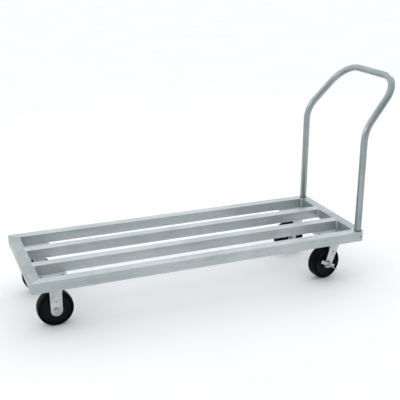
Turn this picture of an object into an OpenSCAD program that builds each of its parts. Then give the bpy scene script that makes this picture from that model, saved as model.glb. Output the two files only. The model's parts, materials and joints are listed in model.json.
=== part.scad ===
// Platform trolley: an open aluminium deck of square tubes on two fixed and two
// swivelling casters, with a bent tube handle that lifts out of two corner sockets.
// +X points to the handle end, +Z up, and the floor is Z = 0.
// "front" is the end away from the handle; "near" is the -Y side, "far" the +Y side.

/* [Deck] */
// Length of the deck, end face to end face
deck_len = 1524; // [900:1:1900]
// Width of the deck, side face to side face
deck_w = 558.8; // [500:0.1:800]
// Side of the square rail tube
rail = 44.45; // [38:0.05:60]
// Wall thickness of the rail tube
rail_wall = 3.2; // [2:0.1:6]
// Thickness of the corner plates that carry the casters
plate_t = 6.35; // [4:0.05:10]
// Length of a corner plate along the deck
plate_len = 158.75; // [150:0.05:200]
// Step from the outer faces of the deck in to a corner plate
plate_inset = 14.3; // [8:0.1:20]

/* [Handle] */
// Outer diameter of the handle tube
handle_d = 31.75; // [25:0.05:34]
// Wall thickness of the handle tube
handle_wall = 3.175; // [1.5:0.005:4]
// Height of the first bend above the deck
leg_rise = 412; // [200:1:600]
// Radius of the bend that leans the legs outward
lean_r = 143; // [80:1:200]
// Angle that the top of the handle leans outward from upright
lean_deg = 42; // [20:1:55]
// How far the leaning stretches are turned in towards each other
close_deg = 11; // [0:1:20]
// Straight stretch between the lean bend and the corner bend
lean_straight = 117; // [5:1:150]
// Radius of the two top corners
corner_r = 128; // [60:1:200]
// Outer diameter of a handle socket
socket_d = 50.8; // [46:0.1:60]
// Inner diameter of a handle socket
socket_bore = 38.1; // [36:0.1:42]

/* [Casters] */
// Height from the floor to the top of a caster's plate
caster_h = 190.5; // [186:0.05:200]
// Wheel diameter
wheel_d = 152.4; // [140:0.1:152.4]
// Width of a wheel's tread
wheel_w = 47.6; // [40:0.1:50.8]
// Distance from the deck's end face to a caster's centre
caster_x = 107.95; // [104:0.05:130]
// Trail of a swivel caster: swivel axis to axle
trail = 43.5; // [30:0.5:44]
// How far the near swivel caster is turned
near_turn = 9; // [-180:1:180]
// How far the far swivel caster is turned
far_turn = 4; // [-180:1:180]

/* [Hidden] */
$fn = 64;
eps = 0.01;
near = -1;
far = 1;

// Heights above the floor
plate_z = caster_h;
rail_z = plate_z + plate_t;
deck_z = rail_z + rail;

// Handle path: how far it reaches past its legs, and the whole length
leg_inset = socket_d / 2;
lean_shift = lean_r * (1 - cos(lean_deg));
plane_deg = atan2(sin(lean_deg) * cos(close_deg), cos(lean_deg));
tilt_deg = asin(sin(lean_deg) * sin(close_deg));
lean_end = lean_straight * cos(tilt_deg) + corner_r * (1 - sin(tilt_deg));
reach = lean_shift * cos(close_deg) + lean_end * sin(plane_deg);
total_len = deck_len - leg_inset + reach + handle_d / 2;
front_x = -total_len / 2;
rear_x = front_x + deck_len;
leg_x = rear_x - leg_inset;
leg_y = deck_w / 2 - leg_inset;
leg_gap = 0.3;
screw_r = 4;
screw_z = rail_z + rail / 2;

// Rails across the deck
half_w = deck_w / 2;
rail_gap = (deck_w - 4 * rail) / 3;
inner_y = rail_gap / 2 + rail / 2;
cope = 8.6;
corner_mitre = rail - leg_inset - cope;

// Casters: centres, plates and bolts
caster_y = half_w - rail - rail_gap / 2;
rigid_x = front_x + caster_x;
swivel_x = rear_x - caster_x;
caster_plate = [114.3, 101.6];
bolt_pitch = [92.1, 66.7];
bolt_r = 4.76;
bolt_hole_r = 5.6;
bolt_cap_r = 8;
bolt_cap = 3;
nut_h = 8.3;
bolt_flats = 14.3;
plate_w = 2 * (half_w - plate_inset - caster_y);

// Forks, wheels and axles, sideways from the wheel's middle plane
wheel_r = wheel_d / 2;
axle_z = wheel_r;
axle_r = 6.35;
axle_hole_r = 6.45;
sleeve_r = 9.5;
bearing_r = 15;
hub_half = 28.5;
leg_in = 30.5;
leg_t = 5;
leg_out = leg_in + leg_t;
axle_flats = 19;
head_t = 8;
axle_nut_t = 11;
rim_w = 2.5;
rim_edge = 4;
tyre_t = 17;
core_rim_t = 7;
hub_r = 23;
web_half = 17;

// Small holes in the fork legs: radius, place along the trail and height over the axle
rigid_hole_r = 3.2;
rigid_hole_up = 38.5;
swivel_hole_r = 4.2;
swivel_hole_u = -18;
swivel_hole_up = 57.3;

// Swivel head, from the caster plate down
crown_top = caster_h - 16.15;
crown_bottom = crown_top - 6;
race_bottom = crown_top + 3;
ball_z = (crown_top + race_bottom) / 2;
ball_r = 3.1;
race_r = 30;
groove_r = 3.35;
skirt_out = 41;
skirt_in = 38.6;
crown_r = 37.6;
skirt_drop = 5;
pin_r = 6.35;
pin_bore_r = 6.42;
pin_head_r = 10;
pin_head_t = 3;
pin_bottom = crown_bottom - 12.5;
pin_washer_r = 14;
pin_washer_t = 2;
pin_nut_t = 8.3;
pin_gap = 0.3;

// Brake: cam, lever and its two pedals
cam_r = 15;
cam_in = leg_out + 0.3;
lever_in = cam_in + 6;
lever_t = 3;
lever_out = lever_in + lever_t;
lever_tilt = 27;
lever_eye_r = 14;
long_pedal = [24, 24];
short_pedal = [22, 34];
head_clear_r = 12.5;
washer_r = 18;

function turn(side) = side == near ? near_turn : far_turn;

// Point where a line from p touches a circle; s picks which of the two
function tangent(p, c, r, s) =
    let (d = c - p, l = norm(d), a = atan2(d[1], d[0]), b = asin(r / l), t = sqrt(l * l - r * r))
    p + t * [cos(a + s * b), sin(a + s * b)];

// Fork leg outline: a straight top edge and a round end about the axle. The sides aim
// a little inside the round end, so that they cross it
module leg_outline(axle_u, top_u0, top_u1, top_z, end_r) {
    c = [axle_u, axle_z];
    p0 = [top_u0, top_z];
    p1 = [top_u1, top_z];
    aim = end_r * 0.99;
    translate(c) circle(end_r);
    polygon([p0, tangent(p0, c, aim, -1), c, tangent(p1, c, aim, 1), p1]);
}

// Stands an outline in the u-z plane and gives it a thickness from v0 to v1
module upright(v0, v1) {
    translate([0, v1, 0]) rotate([90, 0, 0]) linear_extrude(v1 - v0) children();
}

// Puts a sideways cylinder about the axle line from v0 to v1
module across(v0, v1, r, u = 0, z = axle_z) {
    translate([u, v1, z]) rotate([90, 0, 0]) cylinder(r = r, h = v1 - v0);
}

module hexagon_across(v0, v1, flats, u = 0) {
    translate([u, v1, axle_z]) rotate([90, 0, 0])
        cylinder(r = flats / 2 / cos(30), h = v1 - v0, $fn = 6);
}

// Local frame of a caster: +v (local Y) points out of the trolley
module at_rigid(side) {
    translate([rigid_x, side * caster_y, 0])
        if (side == near) mirror([0, 1, 0]) children();
        else children();
}

module at_swivel(side, turned = true) {
    translate([swivel_x, side * caster_y, 0]) rotate([0, 0, turned ? turn(side) : 0])
        if (side == near) mirror([0, 1, 0]) children();
        else children();
}

// Square tube in plan: outline and cavity share the four corner rules
module tube_plan(outer, inner) {
    translate([0, 0, rail_z]) difference() {
        linear_extrude(rail) polygon(outer);
        translate([0, 0, rail_wall]) linear_extrude(rail - 2 * rail_wall) polygon(inner);
    }
}

module socket_cut(side) {
    translate([leg_x, side * leg_y, rail_z - 1]) cylinder(d = socket_d, h = rail + 2);
}

// Side rail: mitred at the front, mitred and coped round the socket at the rear
module side_rail(side) {
    y = half_w;
    a = rail_wall;
    b = rail - rail_wall;
    end = leg_x - cope;
    color([0.78, 0.8, 0.81]) difference() {
        scale([1, side, 1]) tube_plan(
            [[front_x, y], [front_x + rail, y - rail], [end - corner_mitre, y - rail],
                [end, y - rail + corner_mitre], [end, y]],
            [[front_x + a, y - a], [front_x + b, y - b], [end + 1, y - b], [end + 1, y - a]]);
        socket_cut(side);
    }
}

module inner_rail(side) {
    x0 = front_x + rail;
    x1 = rear_x - rail;
    y0 = side * inner_y - rail / 2;
    y1 = y0 + rail;
    w = rail_wall;
    color([0.8, 0.82, 0.83]) tube_plan(
        [[x0, y0], [x1, y0], [x1, y1], [x0, y1]],
        [[x0 - 1, y0 + w], [x1 + 1, y0 + w], [x1 + 1, y1 - w], [x0 - 1, y1 - w]]);
}

module end_rail_front() {
    y = half_w;
    a = rail_wall;
    b = rail - rail_wall;
    color([0.78, 0.8, 0.81]) tube_plan(
        [[front_x, -y], [front_x + rail, rail - y], [front_x + rail, y - rail], [front_x, y]],
        [[front_x + a, a - y], [front_x + b, b - y], [front_x + b, y - b], [front_x + a, y - a]]);
}

module end_rail_rear() {
    x0 = rear_x - rail;
    y = leg_y - cope;
    w = rail_wall;
    m = corner_mitre;
    color([0.78, 0.8, 0.81]) difference() {
        tube_plan(
            [[x0, m - y], [x0 + m, -y], [rear_x, -y], [rear_x, y], [x0 + m, y], [x0, y - m]],
            [[x0 + w, -y - 1], [rear_x - w, -y - 1], [rear_x - w, y + 1], [x0 + w, y + 1]]);
        for (side = [near, far]) socket_cut(side);
    }
}

module handle_socket(side) {
    color([0.82, 0.84, 0.85]) difference() {
        translate([leg_x, side * leg_y, rail_z]) cylinder(d = socket_d, h = rail);
        translate([leg_x, side * leg_y, rail_z - 1]) cylinder(d = socket_bore, h = rail + 2);
        translate([leg_x, side * leg_y, screw_z]) rotate([-90 * side, 0, 0])
            cylinder(r = screw_r, h = socket_d);
    }
}

// Socket screw with a hexagon recess, its tip close to the leg
module socket_screws() {
    tip = handle_d / 2 + 0.3;
    head = socket_d / 2 - 0.8;
    color([0.35, 0.36, 0.37]) for (side = [near, far])
        translate([leg_x, side * leg_y, screw_z]) rotate([-90 * side, 0, 0]) difference() {
            translate([0, 0, tip]) cylinder(r = screw_r, h = head - tip);
            translate([0, 0, head - 3.5]) cylinder(r = 2.3, h = 4, $fn = 6);
        }
}

// Corner plate with the caster's four bolt holes
module corner_plate(x_mid, x_low, side) {
    y_low = side * caster_y - plate_w / 2;
    color([0.75, 0.77, 0.78]) difference() {
        translate([x_low, y_low, plate_z]) cube([plate_len, plate_w, plate_t]);
        bolt_places(x_mid, side) translate([0, 0, plate_z - 1]) cylinder(r = bolt_hole_r, h = plate_t + 2);
    }
}

module corner_plate_front(side) {
    corner_plate(rigid_x, front_x + plate_inset, side);
}

module corner_plate_rear(side) {
    corner_plate(swivel_x, rear_x - plate_inset - plate_len, side);
}

module bolt_places(x_mid, side) {
    for (u = [-0.5, 0.5]) for (v = [-0.5, 0.5])
        translate([x_mid + u * bolt_pitch[0], side * caster_y + v * bolt_pitch[1], 0]) children();
}

// Plate bolts: a low round head on the corner plate and the tail below the caster plate
module plate_bolts() {
    tail = caster_h - plate_t - nut_h - 3;
    color([0.7, 0.71, 0.72]) for (x = [rigid_x, swivel_x]) for (side = [near, far])
        bolt_places(x, side) {
            translate([0, 0, rail_z]) cylinder(r = bolt_cap_r, h = bolt_cap);
            translate([0, 0, tail]) cylinder(r = bolt_r, h = rail_z + eps - tail);
        }
}

module plate_nuts() {
    color([0.7, 0.71, 0.72]) for (x = [rigid_x, swivel_x]) for (side = [near, far])
        bolt_places(x, side) translate([0, 0, caster_h - plate_t - nut_h]) difference() {
            cylinder(r = bolt_flats / 2 / cos(30), h = nut_h, $fn = 6);
            translate([0, 0, -1]) cylinder(r = bolt_r, h = nut_h + 2);
        }
}

// Caster plate with round corners and four bolt holes, top face at caster_h
module caster_top_plate() {
    half = caster_plate / 2;
    r = 9;
    difference() {
        translate([0, 0, caster_h - plate_t]) linear_extrude(plate_t) {
            square([caster_plate[0] - 2 * r, caster_plate[1]], center = true);
            square([caster_plate[0], caster_plate[1] - 2 * r], center = true);
            for (u = [-1, 1]) for (v = [-1, 1])
                translate([u * (half[0] - r), v * (half[1] - r)]) circle(r);
        }
        for (u = [-0.5, 0.5]) for (v = [-0.5, 0.5])
            translate([u * bolt_pitch[0], v * bolt_pitch[1], caster_h - plate_t - 1])
                cylinder(r = bolt_hole_r, h = plate_t + 2);
    }
}

module rigid_plate(side) {
    color([0.66, 0.68, 0.69]) at_rigid(side) caster_top_plate();
}

// Pressed fork of a fixed caster: web, two legs and a raised rim round each leg
module rigid_fork(side) {
    web_top = caster_h - plate_t;
    top_half = 25.3;
    end_r = 24.3;
    color([0.7, 0.72, 0.73]) at_rigid(side) difference() {
        union() {
            translate([-top_half, -leg_out, web_top - leg_t]) cube([2 * top_half, 2 * leg_out, leg_t]);
            for (v = [-leg_out, leg_in]) upright(v, v + leg_t)
                leg_outline(0, -top_half, top_half, web_top - leg_t / 2, end_r);
            for (v = [-leg_out - rim_w, leg_out - eps]) upright(v, v + rim_w + eps) difference() {
                leg_outline(0, -top_half, top_half, web_top - leg_t, end_r);
                leg_outline(0, rim_edge - top_half, top_half - rim_edge, web_top - leg_t + 1, end_r - rim_edge);
            }
        }
        across(-leg_out - 5, leg_out + 5, axle_hole_r);
        across(-leg_out - 5, leg_out + 5, rigid_hole_r, 0, axle_z + rigid_hole_up);
    }
}

// Axle bolt with its head outside, nut inside, in a caster's local frame
module axle_bolt(u, head_v) {
    hexagon_across(head_v, head_v + head_t, axle_flats, u);
    across(-leg_out - axle_nut_t - 4, head_v + eps, axle_r, u);
}

module axle_nut(u) {
    difference() {
        hexagon_across(-leg_out - axle_nut_t, -leg_out - 0.05, axle_flats, u);
        across(-leg_out - axle_nut_t - 1, -leg_out + 1, axle_r, u);
    }
}

module axle_sleeve(u) {
    difference() {
        across(-leg_in + 0.1, leg_in - 0.1, sleeve_r, u);
        across(-leg_in - 1, leg_in + 1, axle_r + 0.05, u);
    }
}

module rigid_axle_bolts() {
    color([0.75, 0.76, 0.77]) for (side = [near, far]) at_rigid(side) axle_bolt(0, leg_out + 0.05);
}

module rigid_axle_nuts() {
    color([0.75, 0.76, 0.77]) for (side = [near, far]) at_rigid(side) axle_nut(0);
}

module rigid_axle_sleeves() {
    color([0.6, 0.61, 0.62]) for (side = [near, far]) at_rigid(side) axle_sleeve(0);
}

// Wheel parts about the local axle line at distance u
module on_axle(u) {
    translate([u, 0, axle_z]) rotate([90, 0, 0]) children();
}

// Tyre section: crowned tread with rounded shoulders
module tyre(u) {
    inner = wheel_r - tyre_t;
    half = wheel_w / 2;
    shoulder = 5;
    crown = 1.6;
    flat = half - shoulder;
    crown_arc = (flat * flat + crown * crown) / (2 * crown);
    on_axle(u) rotate_extrude($fn = 96) {
        difference() {
            translate([inner, -half]) square([wheel_r - inner - crown, 2 * half]);
            for (s = [-1, 1]) translate([wheel_r - crown - shoulder, s * flat]) difference() {
                translate([0, s > 0 ? 0 : -shoulder - 1]) square([shoulder + 1, shoulder + 1]);
                circle(shoulder);
            }
        }
        intersection() {
            translate([wheel_r - crown - 1, -flat]) square([crown + 2, 2 * flat]);
            translate([wheel_r - crown_arc, 0]) circle(crown_arc, $fn = 360);
        }
    }
}

// Wheel core: rim, recessed web and a long hub
module core(u) {
    rim_out = wheel_r - tyre_t;
    rim_in = rim_out - core_rim_t;
    rim_half = wheel_w / 2 - 1.5;
    on_axle(u) rotate_extrude($fn = 96) difference() {
        union() {
            translate([bearing_r, -hub_half]) square([hub_r - bearing_r, 2 * hub_half]);
            translate([hub_r - eps, -web_half]) square([rim_in - hub_r + 2 * eps, 2 * web_half]);
            translate([rim_in, -rim_half]) square([core_rim_t, 2 * rim_half]);
        }
    }
}

module bearing(u) {
    on_axle(u) rotate_extrude() translate([sleeve_r + 0.06, -hub_half + 2])
        square([bearing_r - sleeve_r - 0.06, 2 * hub_half - 4]);
}

module front_tyre(side) {
    color([0.06, 0.06, 0.06]) at_rigid(side) tyre(0);
}

module front_core(side) {
    color([0.1, 0.1, 0.1]) at_rigid(side) core(0);
}

module front_bearing(side) {
    color([0.6, 0.6, 0.6]) at_rigid(side) bearing(0);
}

// Swivel plate: flat plate with the ball race and its skirt pressed below it
module swivel_plate(side) {
    under = caster_h - plate_t;
    color([0.66, 0.68, 0.69]) at_swivel(side, false) difference() {
        union() {
            caster_top_plate();
            translate([0, 0, race_bottom]) cylinder(r = skirt_out, h = under - race_bottom + eps);
            translate([0, 0, race_bottom - skirt_drop]) cylinder(r = skirt_out, h = skirt_drop + eps);
        }
        translate([0, 0, race_bottom - skirt_drop - 1]) cylinder(r = skirt_in, h = skirt_drop + 1);
        translate([0, 0, race_bottom - skirt_drop - 1]) cylinder(r = pin_r, h = 30);
        translate([0, 0, caster_h - pin_head_t]) cylinder(r = pin_head_r + 0.1, h = pin_head_t + 1);
        translate([0, 0, ball_z]) rotate_extrude() translate([race_r, 0]) circle(groove_r, $fn = 32);
    }
}

module kingpin(side) {
    head_z = caster_h - pin_head_t;
    color([0.6, 0.61, 0.62]) at_swivel(side, false) {
        translate([0, 0, head_z]) cylinder(r = pin_head_r, h = pin_head_t);
        translate([0, 0, pin_bottom]) cylinder(r = pin_r, h = head_z - pin_bottom + eps);
    }
}

module kingpin_nut(side) {
    washer_z = crown_bottom - pin_gap - pin_washer_t;
    color([0.7, 0.71, 0.72]) at_swivel(side, false) difference() {
        union() {
            translate([0, 0, washer_z]) cylinder(r = pin_washer_r, h = pin_washer_t);
            translate([0, 0, washer_z - pin_nut_t + 0.1])
                cylinder(r = axle_flats / 2 / cos(30), h = pin_nut_t, $fn = 6);
        }
        translate([0, 0, pin_bottom]) cylinder(r = pin_r, h = crown_bottom - pin_bottom);
    }
}

module swivel_balls(side) {
    balls = 24;
    color([0.75, 0.76, 0.77]) at_swivel(side, false) for (i = [0 : balls - 1])
        rotate([0, 0, i * 360 / balls]) translate([race_r, 0, ball_z]) sphere(ball_r, $fn = 24);
}

// Fork of a swivel caster: round crown, bridge and two trailing legs
module swivel_fork(side) {
    top0 = -32;
    top1 = 20;
    end_r = 20;
    bridge_t = crown_top - crown_bottom - 1;
    color([0.7, 0.72, 0.73]) at_swivel(side) difference() {
        union() {
            translate([0, 0, crown_bottom]) cylinder(r = crown_r, h = crown_top - crown_bottom);
            translate([top0, -leg_out, crown_bottom]) cube([top1 - top0, 2 * leg_out, bridge_t - 2]);
            for (v = [-leg_out, leg_in]) upright(v, v + leg_t)
                leg_outline(-trail, top0, top1, crown_bottom + bridge_t - 2, end_r);
        }
        translate([0, 0, crown_bottom - 1]) cylinder(r = pin_bore_r, h = 10);
        translate([0, 0, ball_z]) rotate_extrude() translate([race_r, 0]) circle(groove_r, $fn = 32);
        across(-leg_out - 1, leg_out + 1, axle_hole_r, -trail);
        across(-leg_out - 1, leg_out + 1, swivel_hole_r, swivel_hole_u, axle_z + swivel_hole_up);
    }
}

module rear_axle_bolt(side) {
    color([0.75, 0.76, 0.77]) at_swivel(side) axle_bolt(-trail, lever_out + 0.3);
}

module rear_axle_nut(side) {
    color([0.75, 0.76, 0.77]) at_swivel(side) axle_nut(-trail);
}

module rear_axle_sleeve(side) {
    color([0.6, 0.61, 0.62]) at_swivel(side) axle_sleeve(-trail);
}

module brake_washer(side) {
    color([0.65, 0.66, 0.67]) at_swivel(side) difference() {
        across(hub_half + 0.3, leg_in - 0.1, washer_r, -trail);
        across(hub_half - 1, leg_in + 1, sleeve_r + 0.05, -trail);
    }
}

module brake_cam(side) {
    color([0.2, 0.2, 0.2]) at_swivel(side) difference() {
        across(cam_in, lever_in - 0.05, cam_r, -trail);
        across(cam_in - 1, lever_in + 1, axle_r + 0.08, -trail);
    }
}

// Brake lever: tilted bar on the axle with a foot pedal turned out at each end
module brake_lever(side) {
    long_arm = 52;
    short_arm = 30;
    half = 8;
    color([0.72, 0.74, 0.75]) at_swivel(side) translate([-trail, 0, axle_z]) rotate([0, lever_tilt, 0])
        difference() {
            union() {
                translate([-long_arm, lever_in, -half]) cube([long_arm + short_arm, lever_t, 2 * half]);
                translate([0, lever_out, 0]) rotate([90, 0, 0]) cylinder(r = lever_eye_r, h = lever_t);
                translate([-long_arm, lever_in, half - lever_t]) cube([long_pedal[0], long_pedal[1], lever_t]);
                translate([short_arm + 4 - short_pedal[0], lever_in, -half])
                    cube([short_pedal[0], short_pedal[1], lever_t]);
            }
            translate([0, lever_out + 1, 0]) rotate([90, 0, 0]) cylinder(r = axle_r + 0.08, h = lever_t + 2);
            translate([0, lever_out + 40, 0]) rotate([90, 0, 0]) cylinder(r = head_clear_r, h = 40);
        }
}

module rear_tyre(side) {
    color([0.06, 0.06, 0.06]) at_swivel(side) tyre(-trail);
}

module rear_core(side) {
    color([0.1, 0.1, 0.1]) at_swivel(side) core(-trail);
}

module rear_bearing(side) {
    color([0.6, 0.6, 0.6]) at_swivel(side) bearing(-trail);
}

// The handle's centreline swept by a disc of radius r. The bends are a hair thinner than
// the straight stretches, which lap over their ends. Each foot is extended down by extra
module handle_sweep(r, extra) {
    foot = rail_z + leg_gap - extra;
    bend_z = deck_z + leg_rise;
    bend_r = r - 0.08;
    lap = 1;
    shoulder_y = leg_y - lean_shift * sin(close_deg);
    bar = shoulder_y - lean_straight * sin(tilt_deg) - corner_r * cos(tilt_deg);
    for (side = [near, far]) translate([leg_x, side * leg_y, 0]) {
        translate([0, 0, foot]) cylinder(r = r, h = bend_z + lap - foot);
        rotate([0, 0, -side * close_deg]) translate([lean_r, 0, bend_z]) rotate([90, 0, 0])
            rotate([0, 0, 180 - lean_deg]) rotate_extrude(angle = lean_deg) translate([lean_r, 0]) circle(bend_r);
    }
    translate([leg_x + lean_shift * cos(close_deg), 0, bend_z + lean_r * sin(lean_deg)])
        rotate([0, plane_deg, 0]) {
            for (side = [near, far]) {
                translate([0, side * shoulder_y, 0]) rotate([side * tilt_deg, 0, 0])
                    translate([0, 0, -lap]) cylinder(r = r, h = lean_straight + 2 * lap);
                translate([0, side * bar, lean_end - corner_r]) rotate([0, 0, -90 * side]) rotate([90, 0, 0])
                    rotate([0, 0, 90]) rotate_extrude(angle = 90 - tilt_deg)
                        translate([corner_r, 0]) circle(bend_r);
            }
            translate([0, bar + lap, lean_end]) rotate([90, 0, 0]) cylinder(r = r, h = 2 * (bar + lap));
        }
}

module handle_tube() {
    color([0.76, 0.78, 0.79]) difference() {
        handle_sweep(handle_d / 2, 0);
        handle_sweep(handle_d / 2 - handle_wall, 1);
    }
}

side_rail(near);  // side_rail_near
side_rail(far);  // side_rail_far
inner_rail(near);  // inner_rail_near
inner_rail(far);  // inner_rail_far
end_rail_front();
end_rail_rear();
handle_socket(near);  // handle_socket_near
handle_socket(far);  // handle_socket_far
corner_plate_front(near);  // corner_plate_front_near
corner_plate_front(far);  // corner_plate_front_far
corner_plate_rear(near);  // corner_plate_rear_near
corner_plate_rear(far);  // corner_plate_rear_far
plate_bolts();
plate_nuts();
socket_screws();
handle_tube();
rigid_plate(near);  // rigid_plate_near
rigid_plate(far);  // rigid_plate_far
rigid_fork(near);  // rigid_fork_near
rigid_fork(far);  // rigid_fork_far
rigid_axle_bolts();
rigid_axle_nuts();
rigid_axle_sleeves();
front_tyre(near);  // front_tyre_near
front_tyre(far);  // front_tyre_far
front_core(near);  // front_core_near
front_core(far);  // front_core_far
front_bearing(near);  // front_bearing_near
front_bearing(far);  // front_bearing_far
swivel_plate(near);  // swivel_plate_near
swivel_plate(far);  // swivel_plate_far
kingpin(near);  // kingpin_near
kingpin(far);  // kingpin_far
kingpin_nut(near);  // kingpin_nut_near
kingpin_nut(far);  // kingpin_nut_far
swivel_balls(near);  // swivel_balls_near
swivel_balls(far);  // swivel_balls_far
swivel_fork(near);  // swivel_fork_near
swivel_fork(far);  // swivel_fork_far
rear_axle_bolt(near);  // rear_axle_bolt_near
rear_axle_bolt(far);  // rear_axle_bolt_far
rear_axle_nut(near);  // rear_axle_nut_near
rear_axle_nut(far);  // rear_axle_nut_far
rear_axle_sleeve(near);  // rear_axle_sleeve_near
rear_axle_sleeve(far);  // rear_axle_sleeve_far
brake_washer(near);  // brake_washer_near
brake_washer(far);  // brake_washer_far
brake_cam(near);  // brake_cam_near
brake_cam(far);  // brake_cam_far
brake_lever(near);  // brake_lever_near
brake_lever(far);  // brake_lever_far
rear_tyre(near);  // rear_tyre_near
rear_tyre(far);  // rear_tyre_far
rear_core(near);  // rear_core_near
rear_core(far);  // rear_core_far
rear_bearing(near);  // rear_bearing_near
rear_bearing(far);  // rear_bearing_far
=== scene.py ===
"""Looks of the platform trolley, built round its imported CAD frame. Metres, in the CAD's own frame:
+X towards the handle end, -Y the near side, +Z up, and the floor is z = 0."""

import json
import math
import random

import bmesh
import bpy
from mathutils import Matrix, Vector

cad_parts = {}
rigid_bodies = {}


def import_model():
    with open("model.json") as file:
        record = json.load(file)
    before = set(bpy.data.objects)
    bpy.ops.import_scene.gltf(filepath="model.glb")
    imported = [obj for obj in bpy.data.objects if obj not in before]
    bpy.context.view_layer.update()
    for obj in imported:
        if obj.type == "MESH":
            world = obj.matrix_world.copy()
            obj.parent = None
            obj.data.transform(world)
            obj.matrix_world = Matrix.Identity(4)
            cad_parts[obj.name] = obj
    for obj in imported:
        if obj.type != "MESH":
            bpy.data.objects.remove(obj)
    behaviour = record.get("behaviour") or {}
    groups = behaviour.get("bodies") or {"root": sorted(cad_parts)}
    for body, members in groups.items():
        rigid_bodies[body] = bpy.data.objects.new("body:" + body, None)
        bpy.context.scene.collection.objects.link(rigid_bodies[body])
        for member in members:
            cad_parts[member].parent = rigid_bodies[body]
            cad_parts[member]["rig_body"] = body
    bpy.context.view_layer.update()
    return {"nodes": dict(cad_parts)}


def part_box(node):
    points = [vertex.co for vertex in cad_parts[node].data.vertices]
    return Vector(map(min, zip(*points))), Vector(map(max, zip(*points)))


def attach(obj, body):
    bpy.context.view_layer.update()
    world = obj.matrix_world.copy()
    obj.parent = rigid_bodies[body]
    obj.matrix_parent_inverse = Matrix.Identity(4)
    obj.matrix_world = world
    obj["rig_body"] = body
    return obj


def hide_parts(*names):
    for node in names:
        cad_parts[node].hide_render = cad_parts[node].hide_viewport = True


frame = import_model()

# ---------------------------------------------------------------- sizes

NEAR, FAR = "near", "far"
SIDE = {NEAR: -1.0, FAR: 1.0}

# Deck
RAIL = 0.04445
DECK_LOW, DECK_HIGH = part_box("end_rail_front")[0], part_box("end_rail_front")[1]
FRONT_X = DECK_LOW.x
HALF_W = DECK_HIGH.y
RAIL_LOW_Z, RAIL_TOP_Z = DECK_LOW.z, DECK_HIGH.z
REAR_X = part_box("end_rail_rear")[1].x
INNER_Y = 0.085725
PLATE_T = 0.00635

# Handle and its sockets
LEG_X, LEG_Y = REAR_X - 0.0254, HALF_W - 0.0254
SOCKET_R = 0.0254
TUBE_R, TUBE_WALL = 0.01582, 0.00312
FOOT_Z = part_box("handle_tube")[0].z
BEND_Z = RAIL_TOP_Z + 0.412
LEAN_R, LEAN, CLOSE = 0.143, math.radians(42), math.radians(11)
LEAN_STRAIGHT, CORNER_R = 0.117, 0.128

# Casters, from the wheel's middle plane
CASTER_Y = 0.17145
RIGID_X, SWIVEL_X = FRONT_X + 0.10795, REAR_X - 0.10795
TRAIL = 0.0435
TURN = {NEAR: math.radians(9), FAR: math.radians(4)}
WHEEL_R, WHEEL_HALF = 0.0762, 0.0238
AXLE_R = 0.00635
LEG_OUT = 0.0355
LEVER_OUT = 0.0448
LEVER_TILT = math.radians(27)
BOLT_PITCH = (0.0921, 0.0667)
BOLT_FLATS, AXLE_FLATS = 0.0143, 0.019
CASTER_TOP = 0.1905

# Studio: strength of the dome, and the eye measured from the front end and top of the deck
DOME = 1.36
EYE = (-0.41187, -3.03125, 1.28856)


# ---------------------------------------------------------------- meshes

class Soup:
    """Vertices and faces collected from several shapes and turned into one piece."""

    def __init__(self):
        self.points, self.faces = [], []

    def add(self, shape, place=None):
        """Takes in one shape, moved to its place."""
        points, faces = shape
        first = len(self.points)
        self.points += [place @ Vector(p) if place else Vector(p) for p in points]
        self.faces += [[first + i for i in f] for f in faces]

    def piece(self, name, material, body, slot, replaces=(), sharp=35):
        """Turns what was collected into one visible piece that rides a body."""
        mesh = bpy.data.meshes.new(name)
        mesh.from_pydata([tuple(p) for p in self.points], [], self.faces)
        mesh.validate()
        built = bmesh.new()
        built.from_mesh(mesh)
        bmesh.ops.recalc_face_normals(built, faces=built.faces)
        built.to_mesh(mesh)
        built.free()
        mesh.shade_smooth()
        mesh.set_sharp_from_angle(angle=math.radians(sharp))
        obj = bpy.data.objects.new(name, mesh)
        bpy.context.scene.collection.objects.link(obj)
        return dress(obj, material, body, replaces)


def dress(obj, material, body, replaces=()):
    """Gives a piece its material and body, and hides the CAD parts it stands for."""
    obj.data.materials.clear()
    obj.data.materials.append(material)
    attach(obj, body)
    if replaces:
        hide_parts(*replaces)
    return obj


def lathe(profile, steps=96, closed=False):
    """A profile of (radius, height) turned about Z. A radius of 0 closes an end to a point."""
    points, faces, rings = [], [], []
    for radius, height in profile:
        if radius < 1e-7:
            rings.append([len(points)] * steps)
            points.append((0, 0, height))
        else:
            rings.append(list(range(len(points), len(points) + steps)))
            points += [(radius * math.cos(2 * math.pi * i / steps),
                        radius * math.sin(2 * math.pi * i / steps), height) for i in range(steps)]
    pairs = list(zip(rings, rings[1:])) + ([(rings[-1], rings[0])] if closed else [])
    for low, high in pairs:
        for i in range(steps):
            j = (i + 1) % steps
            face = list(dict.fromkeys([low[i], low[j], high[j], high[i]]))
            if len(face) > 2:
                faces.append(face)
    return points, faces


def rounded(corners, radius, steps=5):
    """A polyline of (r, z) with each inner corner rounded by an arc-like curve."""
    out = [corners[0]]
    for before, at, after in zip(corners, corners[1:], corners[2:]):
        a, p, b = Vector(before), Vector(at), Vector(after)
        reach = min(radius, (a - p).length * 0.45, (b - p).length * 0.45)
        start, end = p + (a - p).normalized() * reach, p + (b - p).normalized() * reach
        for i in range(steps + 1):
            t = i / steps
            out.append(tuple(start * (1 - t) ** 2 + p * 2 * t * (1 - t) + end * t ** 2))
    return out + [corners[-1]]


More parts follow.
